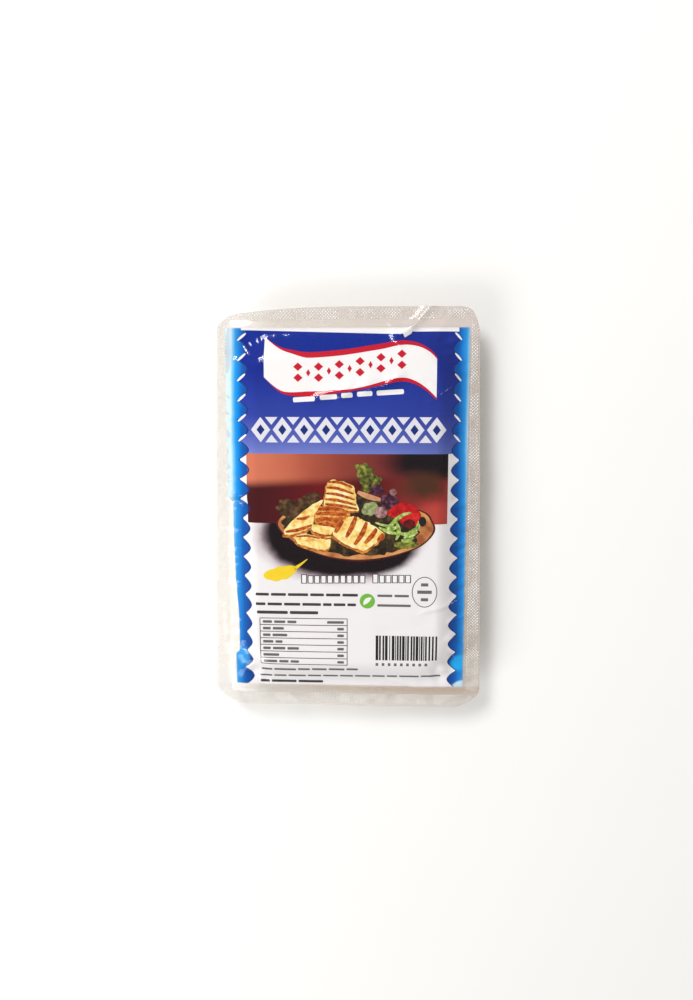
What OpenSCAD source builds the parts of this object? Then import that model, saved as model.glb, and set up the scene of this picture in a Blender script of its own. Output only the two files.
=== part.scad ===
// Vacuum-packed block of cheese: a clear film pack, lying on its back, with a printed label on its front.
// The block, the slack film round it and the welded seal are one closed solid. The label is a thin sheet
// that follows the front of the pack. X runs across the pack, Y along it to the label's head, Z up.
// The origin is at the middle of the pack, on the surface that it lies on.

/* [Cheese block] */
// Width of the block
block_w = 88; // [70:1:110]
// Length of the block
block_l = 140; // [110:1:175]
// Height of the middle of the block above the resting face
block_h = 19.5; // [15:0.5:25]
// Rounding of the block's corners, seen from above
block_corner = 14; // [8:1:18]
// Width of the rounded shoulder inside the block's outline
shoulder_w = 7; // [4:0.5:10]
// Height of the middle of the front face above its rim
crown = 1.1; // [0:0.1:2]
// Depth of the slow waves in the front face
front_wave = 0.35; // [0:0.05:0.8]

/* [Film] */
// Width of the slack film between the block and the seal, at the long sides
skirt_side = 6; // [4:0.5:10]
// Width of the slack film between the block and the seal, at the two ends
skirt_end = 9.3; // [7:0.1:16]
// Width of the welded seal band
seal_w = 5.5; // [4:0.5:8]
// Thickness of the two webs where they are welded
web_t = 0.4; // [0.3:0.05:0.8]
// Height of the seal above the resting face
seal_z = 14; // [9:0.5:15]
// Rounding of the film's corners
film_corner = 10; // [4:1:14]
// How much further out the film's long sides stand at the foot than halfway up
film_flare = 2; // [0:0.5:4]
// How far the head of the film falls away at the left corner
short_corner = 4; // [0:0.5:6]
// How far the film's corners sag
corner_sag = 1.6; // [0:0.1:3]
// Height of the slow ripples along the film's edge
edge_ripple = 0.7; // [0:0.1:1.2]
// Height of the pleats that fan out from the block's corners
pleat_h = 0.2; // [0:0.05:0.6]

/* [Label] */
// How far the label reaches past the block, at the long sides
label_over_side = 5; // [0:0.5:5.5]
// How far the label reaches past the block, at the two ends
label_over_end = 6; // [0:0.5:6.5]
// Distance of the label's middle from the pack's, across
label_shift_x = 0.8; // [-3:0.1:3]
// Distance of the label's middle from the pack's, along
label_shift_y = 0.4; // [-3:0.1:3]
// Thickness of the label
label_t = 0.25; // [0.15:0.05:0.5]
// Clearance between the label and the front of the pack
label_gap = 0.05; // [0.02:0.01:0.1]

/* [Hidden] */

// Half sizes of the block and of the film
block_half = [block_w / 2, block_l / 2];
film_half = block_half + [skirt_side + seal_w, skirt_end + seal_w];
label_half = block_half + [label_over_side, label_over_end];
label_mid = [label_shift_x, label_shift_y];

// How far outside the block's outline the front web and the pocket reach the level of the seal
front_reach = skirt_side - 0.5;
pocket_reach = skirt_side / 2;

// Cells of the surface grid, outwards: middle, shoulder and slack film, seal
cells_mid = [11, 16];
cells_shoulder = [6, 7];
cells_seal = 3;

// Number of pleats in a quarter turn, and of edge ripples along each axis
pleats = 4;
ripples = [2.5, 3.5];

// 0 below the first limit, 1 above the second, and smooth between them
function ramp(low, high, v) =
    let (t = max(0, min(1, (v - low) / (high - low)))) t * t * (3 - 2 * t);

// Distance from a rectangle with rounded corners, negative inside it
function from_outline(p, half, r) =
    let (q = [abs(p.x) - half.x + r, abs(p.y) - half.y + r])
    norm([max(q.x, 0), max(q.y, 0)]) + min(max(q.x, q.y), 0) - r;

function from_block(p) = from_outline(p, block_half, block_corner);

// How near a point is to a corner of the film, 0 on the axes and 1 at the corner
function cornerness(p) = ramp(0.55, 1.05, min(abs(p.x) / film_half.x, abs(p.y) / film_half.y));

// Level of the weld: ripples that grow towards the edge, and sagging corners
function weld_z(p) =
    let (
        outwards = ramp(0, skirt_end + seal_w, from_block(p)),
        along = sin(360 * ripples.x * p.x / film_half.x / 2 + 40) * abs(p.y) / film_half.y
              + sin(360 * ripples.y * p.y / film_half.y / 2 - 65) * abs(p.x) / film_half.x
    )
    seal_z + outwards * (edge_ripple * along / 2 - corner_sag * cornerness(p));

// Pleats in the slack film round each corner of the block
function pleat(p) =
    let (
        d = from_block(p),
        from_corner = [abs(p.x) - block_half.x + block_corner, abs(p.y) - block_half.y + block_corner],
        turn = atan2(max(from_corner.y, 0), max(from_corner.x, 0.01)),
        here = ramp(10, 25, turn) * (1 - ramp(65, 80, turn)) * ramp(-3, 1, d) * (1 - ramp(4, 9, d))
    )
    pleat_h * here * cos(4 * pleats * turn);

// The front face of the block: a low crown with slow waves
function face_z(p) =
    let (
        share = [p.x / block_half.x, p.y / block_half.y],
        wave = sin(150 * share.x + 70) * sin(210 * share.y + 20)
    )
    block_h - crown * (pow(share.x, 2) + pow(share.y, 2)) / 2 + front_wave * (wave - sin(70) * sin(20));

// Front and back of the sealed pack
function front_z(p) =
    let (flat_web = weld_z(p) + web_t / 2, rise = 1 - ramp(-shoulder_w, front_reach, from_block(p)))
    flat_web + (face_z(p) - flat_web) * rise + pleat(p) * (1 - rise);

function back_z(p) =
    let (flat_web = weld_z(p) - web_t / 2, depth = 1 - ramp(-shoulder_w, pocket_reach, from_block(p)))
    (flat_web + pleat(p)) * (1 - depth);

// Evenly spaced values from a up to, but without, b
function steps(a, b, n) = [for (i = [0 : n - 1]) a + (b - a) * i / n];

// Grid lines along one axis: they pass through the label's edges and the inside of the shoulders
function grid_lines(axis) =
    let (
        film = film_half[axis],
        low = label_mid[axis] - label_half[axis],
        high = label_mid[axis] + label_half[axis],
        rim = block_half[axis] - shoulder_w
    )
    concat(
        steps(-film, low, cells_seal),
        steps(low, -rim, cells_shoulder[axis]),
        steps(-rim, rim, cells_mid[axis]),
        steps(rim, high, cells_shoulder[axis]),
        steps(high, film, cells_seal),
        [film]
    );

// Moves a grid point so that the film's square corners become round
function rounded(p) =
    let (
        start = film_half - [film_corner, film_corner],
        a = max(0, abs(p.x) - start.x) / film_corner,
        b = max(0, abs(p.y) - start.y) / film_corner
    )
    (a == 0 || b == 0) ? p : [
        sign(p.x) * (start.x + film_corner * a * sqrt(1 - b * b / 2)),
        sign(p.y) * (start.y + film_corner * b * sqrt(1 - a * a / 2))
    ];

// Lets the head of the film, past the label, fall away towards its left corner
function shortened(p) =
    let (
        label_edge = label_mid.y + label_half.y,
        past_label = ramp(0, 1, (p.y - label_edge) / (film_half.y - label_edge)),
        to_left = max(0, -p.x / film_half.x)
    )
    [p.x, p.y - short_corner * past_label * to_left * to_left];

// Spreads the long sides of the film, past the label, towards the foot and draws them in towards the head
function flared(p) =
    let (
        side = p.x < 0 ? -1 : 1,
        label_edge = label_mid.x * side + label_half.x,
        past_label = ramp(0, 1, (p.x * side - label_edge) / (film_half.x - label_edge))
    )
    [p.x - side * film_flare * past_label * p.y / film_half.y, p.y];

// The plan of the grid, as rows of points
lines_x = grid_lines(0);
lines_y = grid_lines(1);
plan = [for (y = lines_y) [for (x = lines_x) flared(shortened(rounded([x, y])))]];

// A closed skin between an upper and a lower copy of one grid, with the same rows and columns
module between_grids(upper, lower) {
    rows = len(upper);
    cols = len(upper[0]);
    count = rows * cols;
    function at(r, c) = r * cols + c;
    // Each cell is split along the block's outline, so that all four of its corners come out round
    function halves(r, c) =
        let (
            q = [at(r, c), at(r, c + 1), at(r + 1, c + 1), at(r + 1, c)],
            middle = upper[r][c] + upper[r + 1][c + 1]
        )
        middle.x * middle.y > 0
            ? [[q[0], q[1], q[3]], [q[1], q[2], q[3]]]
            : [[q[0], q[1], q[2]], [q[0], q[2], q[3]]];
    rim = concat(
        [for (c = [0 : cols - 2]) at(0, c)],
        [for (r = [0 : rows - 2]) at(r, cols - 1)],
        [for (c = [cols - 1 : -1 : 1]) at(rows - 1, c)],
        [for (r = [rows - 1 : -1 : 1]) at(r, 0)]
    );
    skin = [for (r = [0 : rows - 2]) for (c = [0 : cols - 2]) each halves(r, c)];
    faces = concat(
        [for (t = skin) [t[0], t[2], t[1]]],
        [for (t = skin) [t[0] + count, t[1] + count, t[2] + count]],
        [for (i = [0 : len(rim) - 1])
            let (a = rim[i], b = rim[(i + 1) % len(rim)])
            each [[a, b, b + count], [a, b + count, a + count]]]
    );
    polyhedron(concat([for (row = upper) each row], [for (row = lower) each row]), faces, convexity = 6);
}

// The film with the block inside it, welded all round
module sealed_pack() {
    color([0.93, 0.91, 0.85])
        between_grids(
            [for (row = plan) [for (p = row) [p.x, p.y, front_z(p)]]],
            [for (row = plan) [for (p = row) [p.x, p.y, back_z(p)]]]
        );
}

// The printed label, which covers the grid between the seal cells on each side
module label() {
    cover = [for (r = [cells_seal : len(lines_y) - 1 - cells_seal])
        [for (c = [cells_seal : len(lines_x) - 1 - cells_seal]) plan[r][c]]];
    color([0.13, 0.30, 0.68])
        between_grids(
            [for (row = cover) [for (p = row) [p.x, p.y, front_z(p) + label_gap + label_t]]],
            [for (row = cover) [for (p = row) [p.x, p.y, front_z(p) + label_gap]]]
        );
}

sealed_pack();
label();
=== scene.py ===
import math
import random
import bpy
import numpy as np
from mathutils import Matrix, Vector, noise


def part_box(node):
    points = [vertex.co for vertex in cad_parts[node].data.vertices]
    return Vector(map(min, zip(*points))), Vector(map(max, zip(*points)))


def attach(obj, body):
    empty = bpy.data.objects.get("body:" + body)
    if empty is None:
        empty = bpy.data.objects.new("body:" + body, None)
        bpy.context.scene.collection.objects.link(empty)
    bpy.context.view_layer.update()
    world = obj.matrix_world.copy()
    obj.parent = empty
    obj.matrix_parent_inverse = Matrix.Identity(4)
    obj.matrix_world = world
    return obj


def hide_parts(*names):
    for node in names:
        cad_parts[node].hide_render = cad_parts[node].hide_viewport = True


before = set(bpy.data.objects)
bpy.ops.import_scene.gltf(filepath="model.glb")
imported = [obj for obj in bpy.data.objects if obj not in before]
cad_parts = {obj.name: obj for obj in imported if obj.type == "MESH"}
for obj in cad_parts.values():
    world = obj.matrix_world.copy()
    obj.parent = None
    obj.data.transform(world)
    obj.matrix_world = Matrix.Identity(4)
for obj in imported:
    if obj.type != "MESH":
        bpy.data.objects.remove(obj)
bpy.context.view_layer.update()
mm = 0.001  # every size below is in millimetres, and meshes are made in metres

# the form of the pack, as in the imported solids, in millimetres
pack = {
    "blockTop": 19.5,      # height of the middle of the front face
    "labelOver": (5, 6),   # how far the label reaches past the block, at its sides and its ends
    "skirtSide": 6,        # slack film between the block and the weld, long sides
    "skirtEnd": 9.3,       # the same at the two ends
    "sealWidth": 5.5,      # welded band
    "sealLevel": 14,       # height of the weld
    "webThick": 0.4,       # both webs together, where they are welded
    "blockCorner": 14,     # rounding of the block's corners, seen from above
    "shoulder": 7,         # rounded part inside the block's outline
    "crown": 1.1,          # height of the front face's middle above its rim
    "frontWave": 0.35,     # depth of its slow waves
    "filmCorner": 10,      # rounding of the film's corners
    "filmFlare": 2,        # how far the sides spread at the foot and draw in at the head
    "shortCorner": 4,      # how far the head falls away at the left corner
    "cornerSag": 1.6,      # how far the film's corners sag
    "edgeRipple": 0.7,     # height of the slow ripples along the film's edge
    "ripples": (2.5, 3.5),
    "pleatHeight": 0.2,    # pleats at the block's corners
    "pleats": 4,           # how many in a quarter turn
}
labelLow, labelHigh = (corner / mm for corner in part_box("label"))
labelHalf = ((labelHigh.x - labelLow.x) / 2, (labelHigh.y - labelLow.y) / 2)
labelMid = ((labelHigh.x + labelLow.x) / 2, (labelHigh.y + labelLow.y) / 2)
blockHalf = (labelHalf[0] - pack["labelOver"][0], labelHalf[1] - pack["labelOver"][1])
filmHalf = (
    blockHalf[0] + pack["skirtSide"] + pack["sealWidth"],
    blockHalf[1] + pack["skirtEnd"] + pack["sealWidth"],
)


def ramp(low, high, v):
    t = np.clip((v - low) / (high - low), 0, 1)
    return t * t * (3 - 2 * t)


def wave(degrees):
    return np.sin(np.radians(degrees))


def fromOutline(x, y, half, corner):
    # distance from a rectangle with rounded corners, negative inside
    qx = np.abs(x) - half[0] + corner
    qy = np.abs(y) - half[1] + corner
    return np.hypot(np.maximum(qx, 0), np.maximum(qy, 0)) + np.minimum(np.maximum(qx, qy), 0) - corner


def fromBlock(x, y):
    return fromOutline(x, y, blockHalf, pack["blockCorner"])


def weldZ(x, y):
    outwards = ramp(0, pack["skirtEnd"] + pack["sealWidth"], fromBlock(x, y))
    shareX = x / filmHalf[0]
    shareY = y / filmHalf[1]
    along = wave(180 * pack["ripples"][0] * shareX + 40) * np.abs(shareY)
    along = along + wave(180 * pack["ripples"][1] * shareY - 65) * np.abs(shareX)
    sag = ramp(0.55, 1.05, np.minimum(np.abs(shareX), np.abs(shareY)))
    return pack["sealLevel"] + outwards * (pack["edgeRipple"] * along / 2 - pack["cornerSag"] * sag)


def pleatZ(x, y):
    d = fromBlock(x, y)
    overX = np.maximum(np.abs(x) - blockHalf[0] + pack["blockCorner"], 0.01)
    overY = np.maximum(np.abs(y) - blockHalf[1] + pack["blockCorner"], 0)
    turn = np.degrees(np.arctan2(overY, overX))
    here = ramp(10, 25, turn) * (1 - ramp(65, 80, turn)) * ramp(-3, 1, d) * (1 - ramp(4, 9, d))
    return pack["pleatHeight"] * here * np.cos(np.radians(4 * pack["pleats"] * turn))


def faceZ(x, y):
    shareX = x / blockHalf[0]
    shareY = y / blockHalf[1]
    slow = wave(150 * shareX + 70) * wave(210 * shareY + 20) - wave(70) * wave(20)
    return pack["blockTop"] - pack["crown"] * (shareX ** 2 + shareY ** 2) / 2 + pack["frontWave"] * slow


def frontZ(x, y):
    web = weldZ(x, y) + pack["webThick"] / 2
    rise = 1 - ramp(-pack["shoulder"], pack["skirtSide"] - 0.5, fromBlock(x, y))
    return web + (faceZ(x, y) - web) * rise + pleatZ(x, y) * (1 - rise)


def backZ(x, y):
    web = weldZ(x, y) - pack["webThick"] / 2
    depth = 1 - ramp(-pack["shoulder"], pack["skirtSide"] / 2, fromBlock(x, y))
    return (web + pleatZ(x, y)) * (1 - depth)


# each fold runs from one place to another, from the label's middle; then its height, half width and how much
# steeper its second side is
creases = {
    "headFold": ((17, 69.5), (40, 89), 1.8, 2.6, 1.8),
    "headFoldSide": ((29, 71), (47, 84), 0.4, 2.0, 1.0),
    "headNotch": ((15, 78), (25, 69), 0.5, 1.0, 1.5),
    "headLeft": ((-38, 80), (-12, 84), 0.3, 2.2, 1.0),
    "underBanner1": ((-17, 45.6), (5, 54.6), 1.2, 1.9, 1.2),
    "underBanner2": ((-7, 47.2), (14, 56.0), 1.2, 1.9, 1.2),
    "underBanner3": ((3, 48.6), (25, 57.8), 1.2, 1.9, 1.2),
    "underBanner4": ((10, 49.4), (27, 50.8), -0.5, 1.2, 1.0),
    "underBanner5": ((-30, 49.0), (-10, 47.5), 0.4, 2.6, 1.0),
    "bannerNotch": ((18, 74), (22, 65), 0.3, 1.0, 1.5),
    "rightCrumple1": ((26, 58), (40, 49), 0.35, 0.9, 1.5),
    "rightCrumple2": ((30, 44), (43, 53), 0.3, 0.8, 1.5),
    "rightCrumple3": ((33, 40), (46, 42), 0.3, 0.9, 1.0),
    "leftFold": ((-51, 9), (-42, 4.5), 0.9, 1.0, 1.5),
    "leftFoldSide": ((-50, 5.5), (-43, 2.5), -0.5, 1.2, 1.0),
    "leftFold2": ((-52, 49), (-44, 44), 0.5, 1.0, 1.5),
    "leftFootFold": ((-51, -57), (-43, -62), 0.6, 1.2, 1.5),
    "leftLongFold": ((-54, -30), (-51, -66), 0.6, 1.4, 1.5),
    "rightFold1": ((28, -43), (50, -36), 0.6, 1.1, 2.0),
    "rightFold2": ((41, -47), (52, -43), 0.6, 0.9, 1.5),
    "rightFold3": ((40, -52), (53, -61), 1.0, 2.4, 1.2),
    "rightFold4": ((38, -65), (53, -74), 1.2, 2.2, 1.3),
    "rightFold5": ((42, -60), (52, -67), -0.5, 1.2, 1.0),
    "footFold1": ((14, -72), (40, -79), 0.4, 1.4, 1.5),
    "footFold2": ((-40, -79), (-8, -80.5), 0.35, 1.6, 1.0),
    "softRidge1": ((0, -42), (42, -55), 0.25, 3.0, 1.0),
    "softRidge2": ((8, -53), (40, -44), -0.2, 3.5, 1.0),
    "softRidge3": ((-30, 34), (-44, 58), 0.3, 4.5, 1.0),
}
slackFilm = {
    "wrinkle": 0.15,       # height of the wrinkles that cross the skirt
    "spacing": (5.2, 8.7, 13.0),
    "calmEnds": 0.9,       # how much of them is missing at the head and the foot
    "crumple": 0.22,       # height of the crumpled spot beside the banner
    "crumpleAt": (36, 50),
    "crumpleSize": 8,
    "unrest": 0.12,        # slow unevenness everywhere
}


def field(x, y, size, seed):
    # smooth noise of about that size
    flat = [noise.noise(Vector((a / size, b / size, seed))) for a, b in zip(np.ravel(x), np.ravel(y))]
    return np.array(flat).reshape(np.shape(x))


def crease(x, y, start, end, height, width, steeper):
    run = np.array(end, float) - np.array(start, float)
    length = float(np.hypot(*run))
    share = ((x - start[0]) * run[0] + (y - start[1]) * run[1]) / length ** 2
    aside = ((y - start[1]) * run[0] - (x - start[0]) * run[1]) / length
    aside = aside + 0.25 * width * np.sin(9 * share + start[0])
    fades = ramp(0, 0.25, share) * (1 - ramp(0.7, 1, share))
    return height * fades * np.exp(-np.abs(np.where(aside > 0, aside, aside * steeper) / width) ** 1.3)


def alongBlock(x, y):
    # place along a quarter of the block's outline, from the middle of a long side to the middle of an end
    corner = pack["blockCorner"]
    straightX = blockHalf[0] - corner
    straightY = blockHalf[1] - corner
    turn = np.arctan2(np.maximum(np.abs(y) - straightY, 0), np.maximum(np.abs(x) - straightX, 0))
    return np.minimum(np.abs(y), straightY) + turn * corner + straightX - np.minimum(np.abs(x), straightX)


def frontForm(x, y):
    # the front with its folds, which film, print and cheese share
    z = frontZ(x, y)
    for fold in creases.values():
        z = z + crease(x - labelMid[0], y - labelMid[1], *fold)
    d = fromBlock(x, y)
    slack = ramp(-2, 2, d) * (1 - ramp(5, 10, d))
    atEnd = ramp(0.85, 1.0, np.abs(y) / blockHalf[1]) * (1 - ramp(0.6, 0.95, np.abs(x) / blockHalf[0]))
    slack = slack * (1 - slackFilm["calmEnds"] * atEnd)
    place = alongBlock(x, y)
    drift = 9 * field(x, y, 22, 1.5)
    for i, spacing in enumerate(slackFilm["spacing"]):
        z = z + slackFilm["wrinkle"] * slack * np.sin(2 * math.pi * place / spacing + drift + 2 * i)
    spotX = x - labelMid[0] - slackFilm["crumpleAt"][0]
    spotY = y - labelMid[1] - slackFilm["crumpleAt"][1]
    spot = np.exp(-(spotX ** 2 + spotY ** 2) / slackFilm["crumpleSize"] ** 2)
    z = z + slackFilm["crumple"] * spot * field(x, y, 1.9, 4.5)
    return z + slackFilm["unrest"] * field(x, y, 14, 7.5)


def inScene(name, data):
    piece = bpy.data.objects.new(name, data)
    bpy.context.scene.collection.objects.link(piece)
    return piece


def meshPiece(name, points, faces, material, smoothBelow=50):
    mesh = bpy.data.meshes.new(name)
    mesh.from_pydata([(x * mm, y * mm, z * mm) for x, y, z in points], [], faces)
    mesh.validate()
    mesh.materials.append(material)
    mesh.shade_smooth()
    mesh.set_sharp_from_angle(angle=math.radians(smoothBelow))
    return inScene(name, mesh)


def gridFaces(rows, cols, first=0, flip=False):
    faces = []
    for r in range(rows - 1):
        for c in range(cols - 1):
            a = first + r * cols + c
            quad = (a, a + 1, a + cols + 1, a + cols)
            faces.append(quad[::-1] if flip else quad)
    return faces


def rimOf(rows, cols):
    foot = list(range(cols - 1))
    right = [r * cols + cols - 1 for r in range(rows - 1)]
    head = [(rows - 1) * cols + c for c in range(cols - 1, 0, -1)]
    left = [r * cols for r in range(rows - 1, 0, -1)]
    return foot + right + head + left


def skinBetween(name, x, y, upper, lower, material):
    # a closed skin between two heights over one grid
    rows, cols = x.shape
    count = rows * cols
    points = list(zip(x.flat, y.flat, upper.flat)) + list(zip(x.flat, y.flat, lower.flat))
    faces = gridFaces(rows, cols) + gridFaces(rows, cols, count, flip=True)
    rim = rimOf(rows, cols)
    for i, a in enumerate(rim):
        b = rim[(i + 1) % len(rim)]
        faces.append((a, a + count, b + count, b))
    return meshPiece(name, points, faces, material)


def gridOver(low, high, step):
    nx = round((high[0] - low[0]) / step) + 1
    ny = round((high[1] - low[1]) / step) + 1
    return np.meshgrid(np.linspace(low[0], high[0], nx), np.linspace(low[1], high[1], ny))


def roundCorners(x, y, half, corner):
    # moves a square grid's points so that its corners come out round
    a = np.maximum(0, np.abs(x) - half[0] + corner) / corner
    b = np.maximum(0, np.abs(y) - half[1] + corner) / corner
    newX = np.sign(x) * (half[0] - corner + corner * a * np.sqrt(1 - b * b / 2))
    newY = np.sign(y) * (half[1] - corner + corner * b * np.sqrt(1 - a * a / 2))
    both = (a > 0) & (b > 0)
    return np.where(both, newX, x), np.where(both, newY, y)


def tone(red, green, blue):
    # a colour given as on a screen, 0 to 255
    def linear(v):
        v = v / 255
        return v / 12.92 if v <= 0.04045 else ((v + 0.055) / 1.055) ** 2.4
    return (linear(red), linear(green), linear(blue), 1)


def scaled(colour, factor, lift=0.0):
    return tuple(min(1, c * factor + lift) for c in colour[:3]) + (1,)


def addNode(tree, kind, inputs=None, **settings):
    # a node with its settings, and each given input linked to a socket or set to a value
    node = tree.nodes.new(kind)
    for key, value in settings.items():
        setattr(node, key, value)
    for key, value in (inputs or {}).items():
        if isinstance(value, bpy.types.NodeSocket):
            tree.links.new(value, node.inputs[key])
        else:
            node.inputs[key].default_value = value
    return node


class Shader:
    # one material's node tree, with short ways to add nodes
    def __init__(self, name):
        self.material = bpy.data.materials.new(name)
        self.material.use_nodes = True
        self.tree = self.material.node_tree
        self.tree.nodes.clear()
        self.onLabel = None

    def add(self, kind, inputs=None, **settings):
        return addNode(self.tree, kind, inputs, **settings)

    def place(self):
        return self.add("ShaderNodeTexCoord").outputs["Object"]

    def noise(self, size, detail=3, stretch=(1, 1, 1)):
        moved = self.add("ShaderNodeMapping", {"Vector": self.place(), "Scale": stretch}).outputs[0]
        inputs = {"Vector": moved, "Scale": 1 / (size * mm), "Detail": detail}
        return self.add("ShaderNodeTexNoise", inputs).outputs["Fac"]

    def drift(self, size, amount, detail=3, stretch=(1, 1, 1)):
        # noise round zero
        return self.math("MULTIPLY", self.math("ADD", self.noise(size, detail, stretch), -0.5), amount)

    def attribute(self, name):
        return self.add("ShaderNodeAttribute", attribute_name=name).outputs["Fac"]

    def math(self, operation, a, b=0.0, c=0.0, clamp=False):
        inputs = {0: a, 1: b, 2: c}
        return self.add("ShaderNodeMath", inputs, operation=operation, use_clamp=clamp).outputs[0]

    def between(self, value, low, high, toLow=0.0, toHigh=1.0, curve="SMOOTHSTEP"):
        inputs = {"Value": value, "From Min": low, "From Max": high, "To Min": toLow, "To Max": toHigh}
        return self.add("ShaderNodeMapRange", inputs, interpolation_type=curve).outputs[0]

    def mix(self, share, first, second):
        return self.add("ShaderNodeMix", {0: share, 6: first, 7: second}, data_type="RGBA").outputs[2]

    def colours(self, value, *stops):
        node = self.add("ShaderNodeValToRGB", {"Fac": value})
        ramps = node.color_ramp.elements
        while len(ramps) < len(stops):
            ramps.new(0.5)
        for element, (at, colour) in zip(ramps, stops):
            element.position = at
            element.color = colour
        return node.outputs[0]

    def bump(self, height, strength, distance):
        inputs = {"Height": height, "Strength": strength, "Distance": distance * mm}
        return self.add("ShaderNodeBump", inputs).outputs[0]

    def axes(self):
        # place on the label, in millimetres from its middle
        if not self.onLabel:
            parts = self.add("ShaderNodeSeparateXYZ", {"Vector": self.place()}).outputs
            self.onLabel = [self.math("MULTIPLY_ADD", parts[i], 1 / mm, -labelMid[i]) for i in (0, 1)]
        return self.onLabel

    def spot(self, centre, half, edge, loose=0.1, turn=0.0):
        # 1 inside an oval and 0 outside it, with a soft and slightly uneven edge
        across, along = self.axes()
        c, n = math.cos(math.radians(turn)), math.sin(math.radians(turn))
        du = self.math("ADD", across, -centre[0])
        dv = self.math("ADD", along, -centre[1])
        a = self.math("ADD", self.math("MULTIPLY", du, c / half[0]), self.math("MULTIPLY", dv, n / half[0]))
        b = self.math("ADD", self.math("MULTIPLY", dv, c / half[1]), self.math("MULTIPLY", du, -n / half[1]))
        away = self.math("SQRT", self.math("ADD", self.math("MULTIPLY", a, a), self.math("MULTIPLY", b, b)))
        shaken = self.math("ADD", away, self.drift(5, loose))
        return self.between(shaken, 1 - edge, 1 + edge, 1.0, 0.0)

    def layered(self, share, first, second):
        return self.add("ShaderNodeMixShader", {"Fac": share, 1: first, 2: second}).outputs[0]

    def coat(self, body, roughness, specular, normal):
        # a closed surface of one colour or pattern
        inputs = {"Base Color": body, "Roughness": roughness, "Normal": normal}
        inputs["Specular IOR Level"] = specular
        return self.finish(self.add("ShaderNodeBsdfPrincipled", inputs).outputs[0])

    def film(self, tint, milk, haze, mirror, gloss):
        # clear film: what is behind it shows through a share of haze and a gloss
        body = self.add("ShaderNodeBsdfTransparent", {"Color": tint}).outputs[0]
        milky = self.add("ShaderNodeBsdfDiffuse", {"Color": milk}).outputs[0]
        shiny = self.add("ShaderNodeBsdfGlossy", {"Color": (1, 1, 1, 1), **gloss}).outputs[0]
        return self.finish(self.layered(mirror, self.layered(haze, body, milky), shiny))

    def finish(self, shader):
        self.add("ShaderNodeOutputMaterial", {"Surface": shader})
        return self.material


def shaded(name, build, roughness=0.6):
    # ink whose colour build() works out, mostly from the place on the label
    s = Shader(name)
    return s.coat(build(s), roughness, 0.05, s.bump(s.noise(0.5, 2), 0.08, 0.02))


def printed(name, colour, uneven=0.06):
    # flat ink under the film, with the slight unevenness of a printed dot screen
    lighter = scaled(colour, 1 + uneven, 0.004)
    darker = scaled(colour, 1 - uneven)
    return shaded(name, lambda s: s.mix(s.noise(2.6), darker, lighter))


def labelPaper(s):
    # white stock, with the soft shadow that is printed under the plate
    white = s.mix(s.noise(30), tone(240, 238, 238), tone(233, 231, 234))
    haze = s.spot((-4, -8.5), (34, 20), 0.16)
    middle = s.spot((-4, -8.5), (31.5, 18.2), 0.10)
    corner = s.spot((7, -12), (21.5, 13.8), 0.12)
    dark = s.math("MAXIMUM", middle, corner)
    return s.mix(dark, s.mix(haze, white, tone(172, 150, 160)), tone(14, 0, 10))


def headField(s):
    # deep blue at the head, which pales towards the picture
    across, along = s.axes()
    share = s.between(s.math("ADD", along, s.drift(24, 5)), 25, 76, curve="LINEAR")
    down = s.colours(share, (0.0, tone(112, 126, 200)), (0.12, tone(84, 98, 182)), (0.3, tone(42, 62, 160)),
                     (0.5, tone(24, 50, 152)), (0.68, tone(2, 32, 138)), (1.0, tone(0, 40, 146)))
    right = s.between(across, 8, 44, 0.0, 0.45)
    return s.mix(right, down, tone(30, 46, 130))


def sideStrip(s):
    # azure at the zigzag, which fades to pale at the label's edge
    across, along = s.axes()
    outwards = s.math("ABSOLUTE", s.math("SUBTRACT", across, 0.4))
    uneven = s.math("ADD", outwards, s.drift(15, 2.2, 2, (1, 0.3, 1)))
    fade = s.between(along, -60, 60, -0.5, 0.5)
    share = s.between(s.math("ADD", uneven, fade), 42, 50, curve="LINEAR")
    azure = s.colours(share, (0.0, tone(0, 66, 148)), (0.35, tone(2, 88, 174)), (0.56, tone(14, 126, 210)),
                      (0.74, tone(44, 148, 218)), (0.87, tone(118, 188, 232)), (1.0, tone(206, 230, 244)))
    # painted highlights where the folds near the foot catch the light
    azure = s.mix(s.spot((47.2, -65.0), (3.6, 3.2), 0.3, 0.3, 35), azure, tone(24, 168, 238))
    azure = s.mix(s.spot((47.5, -75.0), (4.2, 1.6), 0.4, 0.3, 30), azure, tone(196, 226, 244))
    # and a painted highlight on a fold at the left of the foot
    return s.mix(s.spot((-46.5, -63.0), (3.4, 4.6), 0.4, 0.3), azure, tone(44, 156, 230))


def pictureGround(s):
    # out-of-focus wall above a dark red table
    across, along = s.axes()
    soft = s.math("ADD", across, s.drift(9, 8))
    wall = s.colours(s.between(soft, -42, 24), (0.0, tone(206, 116, 86)), (0.32, tone(176, 86, 64)),
                     (0.62, tone(144, 62, 48)), (1.0, tone(104, 34, 36)))
    table = s.colours(s.between(soft, -42, 42), (0.0, tone(66, 2, 12)), (0.3, tone(106, 4, 16)),
                      (0.6, tone(78, 6, 10)), (0.8, tone(104, 22, 22)), (1.0, tone(160, 50, 46)))
    edge = s.math("ADD", along, s.math("MULTIPLY", across, -0.05))
    base = s.mix(s.between(edge, 12.0, 17.0), table, wall)
    base = s.mix(s.spot((37, 22), (20, 8), 0.35), base, tone(12, 1, 12))
    base = s.mix(s.spot((31, 12), (9, 5.5), 0.6, 0.9), base, tone(74, 40, 22))
    return s.mix(s.spot((37, 0), (8, 4.5), 0.5), base, tone(180, 66, 56))


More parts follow.
